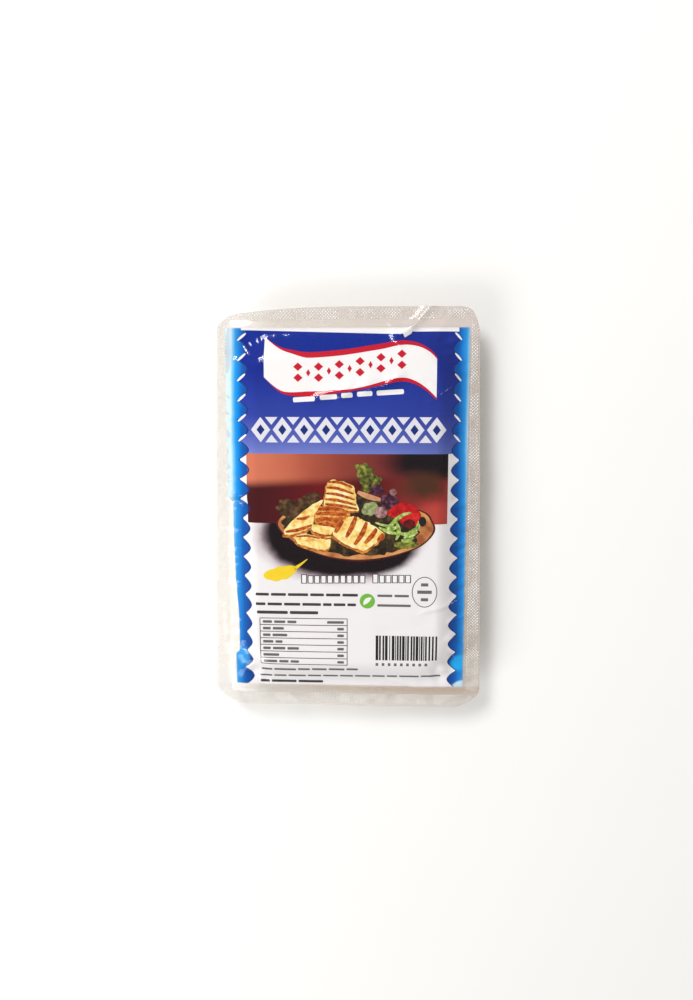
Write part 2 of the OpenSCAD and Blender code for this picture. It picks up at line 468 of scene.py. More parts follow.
filmLook = {
    "tint": (254, 253, 252),
    "haze": (208, 200, 188),      # cloudiness of the slack film at the left and the foot
    # the greyer haze towards the right is painted shade
    "shadedHazeRight": (212, 199, 192),
    "overLabel": 0.003,           # share of haze where the film is drawn tight
    "slackLeast": 0.03,           # share where it is slack, at the left of the foot
    "slackAndShadeMost": 0.44,            # the same at the right of the head, where painted shade is added to the cloudiness
    "weld": 0.04,                 # share added in the weld
    "roughness": 0.09,
    "bump": 0.18,
    "mirror": 0.026,              # share of gloss seen square on
    "shade": (182, 156, 130),     # the slack film just below the label's foot
    "shadeMost": 0.3,
}


def clearFilm():
    f = filmLook
    s = Shader("clear_film")
    shade = s.attribute("shade")
    across, along = s.axes()
    # the haze grows thicker and greyer towards the right and the head: the film's own cloudiness, with
    # painted shade over it
    toRight = s.math("ADD", across, s.math("MULTIPLY", along, 0.5))
    right = s.between(toRight, -88, 88, curve="LINEAR")
    milk = s.mix(right, tone(*f["haze"]), tone(*f["shadedHazeRight"]))
    milk = s.mix(shade, milk, tone(*f["shade"]))
    hazeAndShade = s.between(s.math("ADD", right, s.drift(14, 0.3)), 0.0, 0.85, f["slackLeast"], f["slackAndShadeMost"])
    haze = s.math("MULTIPLY", hazeAndShade, s.attribute("slack"))
    haze = s.math("ADD", haze, s.math("MULTIPLY", s.attribute("weld"), f["weld"]))
    haze = s.math("ADD", haze, s.math("MULTIPLY", shade, f["shadeMost"]))
    haze = s.math("ADD", haze, f["overLabel"], clamp=True)
    height = s.math("ADD", s.noise(5.0, 2), s.math("MULTIPLY", s.noise(1.5, 2), 0.12))
    gloss = {"Roughness": f["roughness"], "Normal": s.bump(height, f["bump"], 0.12)}
    facing = s.add("ShaderNodeLayerWeight", {"Blend": 0.5}).outputs["Facing"]
    mirror = s.math("MULTIPLY_ADD", s.math("POWER", facing, 3.0), 0.5, f["mirror"])
    return s.film(tone(*f["tint"]), milk, haze, mirror, gloss)


def pressedDots():
    # the weld's dots are clouded a little by the hot jaws
    s = Shader("pressed_film")
    haze = s.between(s.noise(7, 3), 0.35, 0.65, 0.2, 0.75)
    return s.film(tone(250, 249, 247), tone(255, 253, 250), haze, 0.08, {"Roughness": 0.15})


def cheeseLook():
    # halloumi: dense, pale cream, faintly layered, with small moist patches
    s = Shader("halloumi")
    layers = s.noise(7, 4, (1, 0.3, 2.5))
    body = s.colours(layers, (0.3, tone(233, 221, 188)), (0.5, tone(241, 232, 205)),
                     (0.72, tone(247, 241, 222)))
    body = s.mix(s.between(s.noise(1.6, 2), 0.62, 0.75, 0.0, 0.45), body, tone(224, 208, 168))
    wet = s.between(s.noise(9, 2), 0.45, 0.6, 0.28, 0.55)
    grain = s.math("ADD", s.noise(1.1, 4), s.math("MULTIPLY", s.noise(5, 3, (1, 0.3, 2.5)), 1.5))
    flesh = s.add("ShaderNodeBsdfPrincipled", {
        "Base Color": body,
        "Roughness": wet,
        "Subsurface Weight": 0.15,
        "Subsurface Radius": (0.004, 0.003, 0.0015),
        "Subsurface Scale": 1.0,
        "Normal": s.bump(grain, 0.4, 0.25),
    })
    return s.finish(flesh.outputs[0])


filmCut = {
    "step": 0.66,          # size of the grid's cells
    "aboveFront": 0.05,
    "overLabel": 0.55,     # how much higher it lies over the label
    "bridge": 4.0,         # width of the slope from the label down to the block's film
    "backWrinkle": 0.22,
    "backSpacing": 6.3,
    "backUnrest": 0.1,
    "thinnest": 0.25,      # least distance between the front and the back
}


def filmPlan(x, y):
    # the film's outline: round corners, a short left corner at the head, and sides that spread to the foot
    x, y = roundCorners(x, y, filmHalf, pack["filmCorner"])
    labelHead = labelMid[1] + labelHalf[1]
    past = ramp(0, 1, (y - labelHead) / (filmHalf[1] - labelHead))
    y = y - pack["shortCorner"] * past * np.maximum(0, -x / filmHalf[0]) ** 2
    side = np.where(x < 0, -1, 1)
    labelSide = labelMid[0] * side + labelHalf[0]
    past = ramp(0, 1, (x * side - labelSide) / (filmHalf[0] - labelSide))
    return x - side * pack["filmFlare"] * past * y / filmHalf[1], y


def makeFilmPack():
    gridX, gridY = gridOver((-filmHalf[0], -filmHalf[1]), filmHalf, filmCut["step"])
    x, y = filmPlan(gridX, gridY)
    fromLabel = fromOutline(x - labelMid[0], y - labelMid[1], labelHalf, 0.5)
    overLabel = 1 - ramp(-0.2, filmCut["bridge"], fromLabel)
    upper = frontForm(x, y) + filmCut["aboveFront"] + filmCut["overLabel"] * overLabel
    d = fromBlock(x, y)
    slack = ramp(-6, 0, d) * (1 - ramp(5, 10, d))
    lower = backZ(x, y) + filmCut["backUnrest"] * field(x, y, 12, 9.5) * ramp(-8, -3, d)
    turns = alongBlock(x, y) / filmCut["backSpacing"]
    lower = lower + filmCut["backWrinkle"] * slack * np.sin(2 * math.pi * turns + 8 * field(x, y, 18, 3.5))
    lower = np.maximum(np.minimum(lower, upper - filmCut["thinnest"]), 0)
    piece = skinBetween("film_pack", x, y, upper, lower, clearFilm())
    inner = (filmHalf[0] - pack["sealWidth"], filmHalf[1] - pack["sealWidth"])
    band = ramp(-0.5, 0.5, np.maximum(np.abs(gridX) - inner[0], np.abs(gridY) - inner[1]))
    pastFoot = labelMid[1] - labelHalf[1] - y
    shade = ramp(-0.4, 0.4, pastFoot) * (1 - ramp(0.5, 7, pastFoot)) * (0.35 + 0.65 * ramp(-50, 0, x))
    clear = 1 - 0.5 * ramp(4, 10, pastFoot)
    slackShare = ramp(-0.6, 0.6, fromLabel) * clear
    shares = {"weld": (band, band), "slack": (slackShare, ramp(2, 6, d) * clear), "shade": (shade, 0 * shade)}
    for name, (above, below) in shares.items():
        share = piece.data.attributes.new(name, "FLOAT", "POINT")
        share.data.foreach_set("value", np.concatenate([above.ravel(), below.ravel()]).astype(np.float32))
    return piece, (gridX, gridY, x, y, upper)


knurl = {"Pitch": 1.3, "Dot Radius": 0.42, "Dot Height": 0.24}


def weldBand(filmGrid):
    # the stretch of film that the knurled jaws pressed
    gridX, gridY, x, y, z = filmGrid
    rows, cols = x.shape
    margin = 0.5
    halfX = filmHalf[0] - pack["sealWidth"] + margin
    halfY = filmHalf[1] - pack["sealWidth"] + margin
    points = list(zip(x.flat, y.flat, z.flat))
    faces = []
    for face in gridFaces(rows, cols):
        r, c = divmod(face[0], cols)
        inside = abs(gridX[r, c]) < halfX and abs(gridY[r, c]) < halfY
        if not inside and 0 < c < cols - 2 and 0 < r < rows - 2:
            faces.append(face)
    return points, faces


def knurlTree(material):
    tree = bpy.data.node_groups.new("knurl", "GeometryNodeTree")
    tree.interface.new_socket("Geometry", in_out="INPUT", socket_type="NodeSocketGeometry")
    for name in knurl:
        tree.interface.new_socket(name, in_out="INPUT", socket_type="NodeSocketFloat")
    tree.interface.new_socket("Geometry", in_out="OUTPUT", socket_type="NodeSocketGeometry")

    def add(kind, inputs=None, **settings):
        return addNode(tree, kind, inputs, **settings)

    def calc(operation, a, b=0.0):
        return add("ShaderNodeMath", {0: a, 1: b}, operation=operation).outputs[0]

    given = add("NodeGroupInput").outputs
    rowsApart = calc("MULTIPLY", given["Pitch"], 0.5)
    sizeX = 2 * (filmHalf[0] + pack["filmFlare"]) * mm
    sizeY = 2 * filmHalf[1] * mm
    countX = calc("DIVIDE", sizeX, given["Pitch"])
    countY = calc("DIVIDE", sizeY, rowsApart)
    cells = {"Size X": sizeX, "Size Y": sizeY, "Vertices X": countX, "Vertices Y": countY}
    lattice = add("GeometryNodeMeshGrid", cells).outputs["Mesh"]
    # every other row moves half a pitch aside
    row = calc("MODULO", add("GeometryNodeInputIndex").outputs[0], calc("FLOOR", countY))
    aside = calc("MULTIPLY", calc("MODULO", row, 2.0), rowsApart)
    shift = add("ShaderNodeCombineXYZ", {"X": aside, "Z": 0.05}).outputs[0]
    staggered = add("GeometryNodeSetPosition", {"Geometry": lattice, "Offset": shift}).outputs[0]
    # the dots drop on the weld, and those that miss it are left out
    down = {"Target Geometry": given["Geometry"], "Ray Direction": (0, 0, -1), "Ray Length": 0.1}
    hit = add("GeometryNodeRaycast", down).outputs
    missed = add("FunctionNodeBooleanMath", {0: hit["Is Hit"]}, operation="NOT").outputs[0]
    kept = add("GeometryNodeDeleteGeometry", {"Geometry": staggered, "Selection": missed}).outputs[0]
    landed = add("GeometryNodeSetPosition", {"Geometry": kept, "Position": hit["Hit Position"]}).outputs[0]
    ball = {"Radius": given["Dot Radius"], "Subdivisions": 1}
    dot = add("GeometryNodeMeshIcoSphere", ball).outputs["Mesh"]
    squat = calc("DIVIDE", given["Dot Height"], given["Dot Radius"])
    scale = add("ShaderNodeCombineXYZ", {"X": 1.0, "Y": 1.0, "Z": squat}).outputs[0]
    placed = {"Points": landed, "Instance": dot, "Scale": scale}
    dots = add("GeometryNodeInstanceOnPoints", placed).outputs[0]
    real = add("GeometryNodeRealizeInstances", {"Geometry": dots}).outputs[0]
    smooth = add("GeometryNodeSetShadeSmooth", {"Geometry": real}).outputs[0]
    painted = add("GeometryNodeSetMaterial", {"Geometry": smooth, "Material": material}).outputs[0]
    add("NodeGroupOutput", {"Geometry": painted})
    return tree


def makeKnurl(filmGrid, material):
    points, faces = weldBand(filmGrid)
    base = meshPiece("knurl_base", points, faces, material)
    modifier = base.modifiers.new("knurl", "NODES")
    modifier.node_group = knurlTree(material)
    for item in modifier.node_group.interface.items_tree:
        if item.in_out == "INPUT" and item.name in knurl:
            modifier[item.identifier] = knurl[item.name] * mm
    evaluated = base.evaluated_get(bpy.context.evaluated_depsgraph_get())
    mesh = bpy.data.meshes.new_from_object(evaluated)
    bpy.data.objects.remove(base)
    return inScene("weld_knurl", mesh)


block = {
    "step": 1.0,
    "reach": 1.2,          # how far it bulges past the block's outline
    "clearance": 0.3,      # between the cheese and the film
    "nose": 3.2,           # rounding of the edge
    "rim": 0.03,           # share of the height that is left at the very rim
    "seam": 0.55,          # depth of the fold line across the back
    "seamAt": -6,
    "seamWidth": 1.1,
    "seamWander": 2.5,
    "pits": 0.35,
    "deepest": 1.6,
}


def makeCheese():
    half = (blockHalf[0] + block["reach"], blockHalf[1] + block["reach"])
    corner = pack["blockCorner"] + block["reach"]
    x, y = gridOver((-half[0], -half[1]), half, block["step"])
    x, y = roundCorners(x, y, half, corner)
    top = frontForm(x, y) - block["clearance"]
    bottom = backZ(x, y) + block["clearance"]
    middle = (top + bottom) / 2
    inwards = np.clip(-fromOutline(x, y, half, corner) / block["nose"], 0, 1)
    plump = np.maximum(block["rim"], np.sqrt(np.maximum(0, 1 - (1 - inwards) ** 2)))
    pits = block["pits"] * np.maximum(0, field(x, y, 2.2, 2.5) - 0.28) * 2
    # the block is folded in two, so its back shows where the two halves meet
    fold = y - block["seamAt"] + block["seamWander"] * field(x, y, 40, 5.5)
    seam = block["seam"] * np.exp(-(fold / block["seamWidth"]) ** 2)
    seam = seam + 0.2 * np.maximum(0, field(x, y, 9, 8.5))
    lift = np.minimum(pits + seam + block["pits"] * 0.4 * (1 + field(x, y, 5, 6.5)), block["deepest"])
    upper = middle + (top - middle) * plump
    lower = middle + (bottom + lift - middle) * plump
    return skinBetween("cheese_block", x, y, upper, lower, cheeseLook())


sheet = {"step": 0.66, "thick": 0.12, "aboveFront": 0.05, "inkStep": 0.022, "inkThick": 0.016}

# how far the label's left edge is drawn in, from its foot to its head: it steps at the two folds there
leftEdgeIn = ((-80, -0.2), (-62.5, 0.0), (-60.5, 1.8), (-45, 1.6), (-30, 0.6), (-10, 0.0), (3.8, 0.0),
              (6.2, -2.0), (80, -2.0))


def drawnIn(u, v):
    return np.interp(v, [a for a, b in leftEdgeIn], [b for a, b in leftEdgeIn]) * ramp(40, 49, -u)


def makeLabel():
    low = (-labelHalf[0], -labelHalf[1])
    u, v = gridOver(low, labelHalf, sheet["step"])
    x = u + labelMid[0]
    y = v + labelMid[1]
    lower = frontForm(x, y) + sheet["aboveFront"]
    upper = lower + sheet["thick"]
    stock = shaded("label_stock", labelPaper, 0.45)
    piece = skinBetween("label_sheet", x + drawnIn(u, v), y, upper, lower, stock)
    return piece, (u[0], v[:, 0], upper)


def splitAt(outline, axis, at):
    # the parts of a convex outline below and above a grid line
    below, above = [], []
    for i, p in enumerate(outline):
        q = outline[(i + 1) % len(outline)]
        if p[axis] <= at:
            below.append(p)
        if p[axis] >= at:
            above.append(p)
        if (p[axis] - at) * (q[axis] - at) < 0:
            t = (at - p[axis]) / (q[axis] - p[axis])
            cut = [p[0] + (q[0] - p[0]) * t, p[1] + (q[1] - p[1]) * t]
            cut[axis] = at
            below.append(tuple(cut))
            above.append(tuple(cut))
    return below, above


def inCells(outline, axis, lines):
    low = min(p[axis] for p in outline)
    high = max(p[axis] for p in outline)
    parts = []
    rest = outline
    for at in lines[(lines > low + 1e-6) & (lines < high - 1e-6)]:
        below, rest = splitAt(rest, axis, float(at))
        if len(below) > 2:
            parts.append(below)
    if len(rest) > 2:
        parts.append(rest)
    return parts


def areaOf(outline):
    return sum(p[0] * q[1] - q[0] * p[1] for p, q in zip(outline, outline[1:] + outline[:1])) / 2


def drape(name, outlines, level, material):
    # lays convex outlines, given from the label's middle, on the label as one thin layer of ink
    lineU, lineV, heights = labelGrid
    found = {}
    points = []
    faces = []

    def index(p):
        key = (round(p[0], 4), round(p[1], 4))
        if key not in found:
            found[key] = len(points)
            points.append(key)
        return found[key]

    for outline in outlines:
        outline = [(min(max(a, lineU[0]), lineU[-1]), min(max(b, lineV[0]), lineV[-1])) for a, b in outline]
        if areaOf(outline) < 0:
            outline = outline[::-1]
        for column in inCells(outline, 0, lineU):
            for cell in inCells(column, 1, lineV):
                corners = []
                for p in cell:
                    i = index(p)
                    if i not in corners:
                        corners.append(i)
                if len(corners) > 2 and abs(areaOf([points[i] for i in corners])) > 1e-6:
                    faces.append(tuple(corners))
    flat = np.array(points)
    col = np.clip(np.searchsorted(lineU, flat[:, 0]) - 1, 0, len(lineU) - 2)
    row = np.clip(np.searchsorted(lineV, flat[:, 1]) - 1, 0, len(lineV) - 2)
    a = (flat[:, 0] - lineU[col]) / (lineU[col + 1] - lineU[col])
    b = (flat[:, 1] - lineV[row]) / (lineV[row + 1] - lineV[row])
    z = (1 - b) * ((1 - a) * heights[row, col] + a * heights[row, col + 1])
    z = z + b * ((1 - a) * heights[row + 1, col] + a * heights[row + 1, col + 1])
    z = z + 0.01 + sheet["inkStep"] * (level + 1)
    x = flat[:, 0] + labelMid[0] + drawnIn(flat[:, 0], flat[:, 1])
    y = flat[:, 1] + labelMid[1]
    count = len(points)
    solid = list(zip(x, y, z)) + list(zip(x, y, z - sheet["inkThick"]))
    edges = {}
    for face in faces:
        for i, p in enumerate(face):
            edges[(p, face[(i + 1) % len(face)])] = True
    rim = [(p, q) for p, q in edges if (q, p) not in edges]
    under = [tuple(i + count for i in reversed(face)) for face in faces]
    sides = [(q, p, p + count, q + count) for p, q in rim]
    piece = meshPiece(name, solid, faces + under + sides, material, 35)
    ink.append(piece)
    return piece


# outlines, each a list of convex ones, in millimetres from the label's middle
def box(u0, v0, u1, v1):
    return [[(u0, v0), (u1, v0), (u1, v1), (u0, v1)]]


def turned(outlines, centre, degrees):
    c, s = math.cos(math.radians(degrees)), math.sin(math.radians(degrees))
    return [[(centre[0] + (a - centre[0]) * c - (b - centre[1]) * s,
              centre[1] + (a - centre[0]) * s + (b - centre[1]) * c) for a, b in o] for o in outlines]


def oval(cu, cv, ru, rv, degrees=0, sides=40):
    steps = [2 * math.pi * i / sides for i in range(sides)]
    return turned([[(cu + ru * math.cos(t), cv + rv * math.sin(t)) for t in steps]], (cu, cv), degrees)


def ring(cu, cv, ru, rv, width, sides=48):
    steps = [2 * math.pi * i / sides for i in range(sides + 1)]
    outer = [(cu + ru * math.cos(t), cv + rv * math.sin(t)) for t in steps]
    inner = [(cu + (ru - width) * math.cos(t), cv + (rv - width) * math.sin(t)) for t in steps]
    return [[outer[i], outer[i + 1], inner[i + 1], inner[i]] for i in range(sides)]


def roundBox(u0, v0, u1, v1, r):
    points = []
    corners = ((u1 - r, v1 - r, 0), (u0 + r, v1 - r, 90), (u0 + r, v0 + r, 180), (u1 - r, v0 + r, 270))
    for cu, cv, start in corners:
        for i in range(5):
            t = math.radians(start + 22.5 * i)
            points.append((cu + r * math.cos(t), cv + r * math.sin(t)))
    return [points]


def between(low, high, start, end, count):
    # the area between two curves v = low(u) and v = high(u)
    us = [start + (end - start) * i / count for i in range(count + 1)]
    return [[(a, low(a)), (b, low(b)), (b, high(b)), (a, high(a))] for a, b in zip(us, us[1:])]


def beside(inner, outer, start, end, count):
    # the area between two curves u = inner(v) and u = outer(v)
    vs = [start + (end - start) * i / count for i in range(count + 1)]
    return [[(inner(a), a), (outer(a), a), (outer(b), b), (inner(b), b)] for a, b in zip(vs, vs[1:])]


def star(cu, cv, radius, sides=60):
    # a closed outline round a centre, radius(angle) from it, as a fan of triangles
    steps = [2 * math.pi * i / sides for i in range(sides + 1)]
    rim = [(cu + radius(t) * math.cos(t), cv + radius(t) * math.sin(t)) for t in steps]
    return [[(cu, cv), rim[i], rim[i + 1]] for i in range(sides)]


def smoothPath(path, steps=6, closed=False):
    # a smooth curve through the given points
    count = len(path)

    def pick(i):
        return Vector(path[i % count if closed else min(max(i, 0), count - 1)])

    points = []
    for i in range(count if closed else count - 1):
        a, b, c, d = pick(i - 1), pick(i), pick(i + 1), pick(i + 2)
        for j in range(steps):
            t = j / steps
            bend = (2 * a - 5 * b + 4 * c - d) * t ** 2 + (3 * b - a - 3 * c + d) * t ** 3
            points.append(0.5 * (2 * b + (c - a) * t + bend))
    return points if closed else points + [Vector(path[-1])]


def blob(path, grow=0.0, steps=5, shake=0.0):
    # a rounded outline through the given points, as a fan round its middle
    rim = smoothPath(path, steps, closed=True)
    middle = sum(rim, Vector((0, 0))) / len(rim)
    moved = []
    for p in rim:
        away = p - middle
        moved.append(p + away.normalized() * (grow + shake * noise.noise(Vector((p.x, p.y, 3.3)))))
    return [[tuple(middle), tuple(p), tuple(q)] for p, q in zip(moved, moved[1:] + moved[:1])]


def curveThrough(path):
    # the height v of a smooth curve at any u
    points = smoothPath(path, 10)
    return lambda u: float(np.interp(u, [p.x for p in points], [p.y for p in points]))


def ribbon(path, width, steps=6):
    # a stroke of changing width along a smooth path through the given points
    points = smoothPath(path, steps)
    sides = []
    for i, p in enumerate(points):
        run = (points[min(i + 1, len(points) - 1)] - points[max(i - 1, 0)]).normalized()
        share = i / (len(points) - 1)
        w = width(share) / 2 if callable(width) else width / 2
        sides.append(((p.x - run.y * w, p.y + run.x * w), (p.x + run.y * w, p.y - run.x * w)))
    return [[sides[i][0], sides[i][1], sides[i + 1][1], sides[i + 1][0]] for i in range(len(sides) - 1)]


def lozenge(cu, cv, ru, rv):
    return [[(cu - ru, cv), (cu, cv - rv), (cu + ru, cv), (cu, cv + rv)]]


def wordBars(u0, u1, v0, height, words, slant=0.0, gap=0.9):
    # a line of print shown as plain bars, as many as the words it would have
    widths = [dice.uniform(0.5, 1.5) for _ in range(words)]
    room = (u1 - u0 - gap * (words - 1)) / sum(widths)
    bars = []
    at = u0
    for w in widths:
        lift = slant * (at - u0)
        bars += roundBox(at, v0 + lift, at + w * room, v0 + lift + height, height * 0.3)
        at += w * room + gap
    return bars


zigzag = {
    "teeth": 18,
    "pitch": 8.23,
    "first": 71.6,         # where the first tooth's tip lies
    "outerTip": 45.4,
    "innerTip": 41.6,
    "middle": 0.5,
    "round": 1.7,          # how round the inner ends are
    "line": 0.42,          # width of the line along it
}


def zigzagAt(v):
    # how far from the middle the zigzag lies at v: pointed outwards, rounded inwards
    phase = ((zigzag["first"] - v) / zigzag["pitch"]) % 1
    rise = 1 - abs(2 * phase - 1)
    inwards = 1 - (1 - rise) ** zigzag["round"]
    return zigzag["outerTip"] - (zigzag["outerTip"] - zigzag["innerTip"]) * inwards


def rightEdge(v, extra=0.0):
    return zigzag["middle"] + zigzagAt(v) + extra


def leftEdge(v, extra=0.0):
    return zigzag["middle"] - zigzagAt(v) - extra


inks = {
    "white": printed("ink_white", tone(240, 239, 240), 0.02),
    "softWhite": printed("ink_soft_white", tone(222, 222, 232), 0.03),
    "red": printed("ink_red", tone(196, 8, 42)),
    "black": printed("ink_black", tone(24, 22, 26)),
    "darkGrey": printed("ink_dark_grey", tone(62, 58, 64)),
    "grey": printed("ink_grey", tone(104, 100, 106)),
    "deepBlue": printed("ink_deep_blue", tone(0, 40, 116)),
    "green": printed("ink_green", tone(112, 182, 62)),
    "yellow": printed("ink_yellow", tone(240, 208, 40)),
}


headMargin = {
    "edge": 75.2,
    "fall": 0.028,
    "left": -45,
    "steps": ((21, 25, 1.1), (22, 45, 0.5)),  # the fold at the right shifts it: from, to, how far
    "fieldFoot": 25.0,     # where the blue field ends above the picture
}


def headEdge(u):
    # where the blue ends below the white margin at the head
    v = headMargin["edge"] - headMargin["fall"] * (u - headMargin["left"])
    for start, end, rise in headMargin["steps"]:
        v += rise * float(ramp(start, end, u))
    return v


def makeFields():
    foot, head = -labelHalf[1], labelHalf[1]
    steps = zigzag["teeth"] * 12
    line = zigzag["line"]
    strips = beside(lambda v: labelHalf[0], rightEdge, foot, head, steps)
    strips += beside(leftEdge, lambda v: -labelHalf[0], foot, head, steps)
    drape("side_strips", strips, 0, shaded("ink_azure_and_painted_highlights", sideStrip))
    lines = beside(lambda v: rightEdge(v, line), rightEdge, foot, head, steps)
    lines += beside(leftEdge, lambda v: leftEdge(v, line), foot, head, steps)
    drape("zigzag_lines", lines, 1, inks["deepBlue"])
    blue = beside(leftEdge, rightEdge, headMargin["fieldFoot"], headEdge(headMargin["left"]), 80)
    drape("head_field", blue, 0, shaded("ink_head_blue", headField))
    drape("head_margin", between(headEdge, lambda u: head, -43.6, 44.6, 60), 2, inks["white"])
    # a small white patch just below the head margin, beside the fold
    drape("head_white_patch", [[(21.2, 75.0), (22.6, 71.9), (25.4, 73.6), (25.8, 75.0)]], 3, inks["white"])
    dashes = []
    for i in range(6):
        v = zigzag["first"] - zigzag["pitch"] * i
        for side in (-1, 1):
            tip = zigzag["middle"] + side * (zigzag["outerTip"] - 0.2)
            path = [(tip, v - 0.6), (tip - side * 1.2, v + 0.8), (tip - side * 2.6, v + 2.3)]
            dashes += ribbon(path, lambda t: 0.2 + 0.65 * math.sin(math.pi * (0.1 + 0.8 * t)))
    drape("zigzag_dashes", dashes, 3, inks["white"])


banner = {
    "top": ((-34.4, 72.2), (-28.3, 68.4), (-22.8, 67.0), (-16, 66.1), (-2.5, 67.1), (11.1, 69.2),
            (21.3, 70.8), (28.1, 69.8), (32.9, 67.1), (35.6, 64.2)),
    "foot": ((-34.4, 56.1), (-29.6, 51.3), (-24.9, 48.9), (-16, 48.3), (-7.9, 49.3), (0.9, 50.4),
             (11.1, 52.4), (21.3, 54.3), (26.8, 53.3), (31.5, 50.6), (35.6, 47.0)),
    "edging": 2.3,
}


def makeBanner():
    # a plain waving ribbon with red edging; lozenges fill it in place of a name
    top = curveThrough(banner["top"])
    foot = curveThrough(banner["foot"])
    left, right = banner["top"][0][0], banner["top"][-1][0]

    def edging(u):
        share = (u - left) / (right - left)
        return banner["edging"] * min(1, 4 * share, 0.4 + 2 * (1 - share))

    def footEdging(u):
        # thinner in its middle
        return edging(u) * (0.95 - 0.6 * math.exp(-((u - 4) / 13) ** 2))

    drape("banner", between(foot, top, left, right, 70), 3, inks["white"])
    reds = between(lambda u: top(u) - edging(u), top, left, right, 70)
    reds += between(foot, lambda u: foot(u) + footEdging(u), left, right, 70)
    row = []
    for i in range(11):
        u = -20.5 + 4.2 * i
        v = (top(u) + foot(u)) / 2 + 0.6
        if i % 2:
            row += lozenge(u, v, 0.9, 1.5)
        else:
            for side in (-1, 1):
                row += lozenge(u, v + side * 2.2, 1.9, 1.7)
    drape("banner_red", reds + row, 4, inks["red"])


frieze = {"left": -40.6, "right": 40.4, "foot": 29.6, "height": 10.4, "count": 9}

# the bars over the frieze: left end, right end and foot of each
strapline = ((-22.5, -13.5, 46.2), (-11.5, -4.5, 47.1), (-2.8, 1.8, 47.8), (3.6, 9.8, 48.4),
             (11.5, 22.5, 49.0))


def makeHeadline():
    # a frieze of tiles in place of the title, and bars in place of the line above it
    f = frieze
    pitch = (f["right"] - f["left"]) / f["count"]
    middle = f["foot"] + f["height"] / 2
    high = f["height"] / 2
    tiles = []
    hearts = []
    for i in range(f["count"]):
        u = f["left"] + pitch * (i + 0.5)
        wide = pitch / 2 - 0.5
        tiles += lozenge(u, middle, wide, high)
        hearts += lozenge(u, middle, wide * 0.42, high * 0.42)
    for i in range(f["count"] - 1):
        u = f["left"] + pitch * (i + 1)
        for side in (-1, 1):
            end = middle + side * high
            tiles.append([(u - 2.6, end), (u + 2.6, end), (u, middle + side * 2.0)])
    drape("headline_tiles", tiles, 3, inks["softWhite"])
    drape("headline_hearts", hearts, 4, inks["deepBlue"])
    row = []
    for left, right, v in strapline:
        row += turned(roundBox(left, v, right, v + 2.0, 0.6), ((left + right) / 2, v), 3.5)
    drape("strapline_bars", row, 3, inks["white"])


def foodInk(name, size, *tones):
    # mottled colours of one food, from the darkest to the lightest
    def build(s):
        stops = [(0.3 + 0.4 * i / (len(tones) - 1), tone(*t)) for i, t in enumerate(tones)]
        return s.colours(s.noise(size, 4), *stops)
    return shaded(name, build)


def leafy(cu, cv, ru, rv, teeth, depth, seed, degrees=0):
    # a frilled leaf
    def radius(t):
        frill = 1 + depth * math.sin(teeth * t + seed) * (0.6 + 0.4 * math.sin(3 * t + 2 * seed))
        return frill / math.hypot(math.cos(t) / ru, math.sin(t) / rv)
    return turned(star(cu, cv, radius, 72), (cu, cv), degrees)


def swelling(least, most):
    return lambda t: least + (most - least) * math.sin(math.pi * t)


